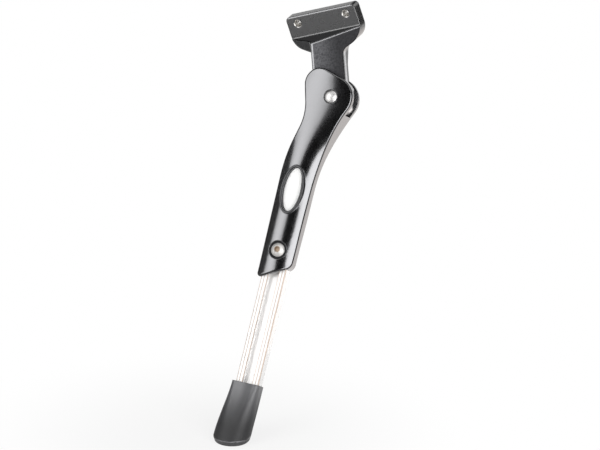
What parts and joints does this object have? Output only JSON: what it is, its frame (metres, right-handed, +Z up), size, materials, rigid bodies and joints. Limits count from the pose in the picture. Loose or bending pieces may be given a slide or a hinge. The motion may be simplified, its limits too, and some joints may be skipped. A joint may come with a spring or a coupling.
{
  "type": "bicycle kickstand",
  "caption": "Bicycle kickstand with a bolt-on bracket, a crowned black housing that folds up behind it, a clamped sliding leg and a flared rubber foot.",
  "frame": {"origin": "middle of the two bolt holes, on the back face of the bolt plate, where it meets the bicycle", "axes": "+Z up, +X towards the rear of the bicycle, +Y towards the bicycle, so the stand leans out to -Y"},
  "size_m": [0.0649, 0.1685, 0.2983],
  "materials": {
    "bracket_coat": "satin black coat on a forging",
    "housing_coat": "gloss black coat",
    "bright_steel": "bright",
    "plated_steel": "zinc plated",
    "badge_white": "gloss white",
    "leg_aluminium": "bright drawn",
    "foot_rubber": "matt moulded"
  },
  "bodies": {
    "bracket": {"mount_bracket": "bracket_coat"},
    "stand": {"housing": "housing_coat", "pivot_pin": "bright_steel", "detent_spring": "bright_steel", "badge": "badge_white", "clamp_screw": "plated_steel", "clamp_nut": "plated_steel"},
    "plunger": {"detent_plunger": "bright_steel"},
    "leg": {"leg": "leg_aluminium", "foot": "foot_rubber"}
  },
  "joints": [
    {"name": "fold", "type": "hinge", "parent": "bracket", "child": "stand", "pos_m": [0.0201, -0.0324, -0.0525], "axis": [0, -0.891, 0.454], "range_deg": [0, 113]},
    {"name": "length", "type": "slide", "parent": "stand", "child": "leg", "axis": [-0.0785, -0.4526, -0.8883], "range_m": [-0.025, 0.02]},
    {"name": "detent", "type": "slide", "parent": "stand", "child": "plunger", "axis": [0.294, 0.4339, 0.8516], "range_m": [0, 0.0021], "stiffness_N_per_m": 2000, "deforming": ["detent_spring"]}
  ]
}
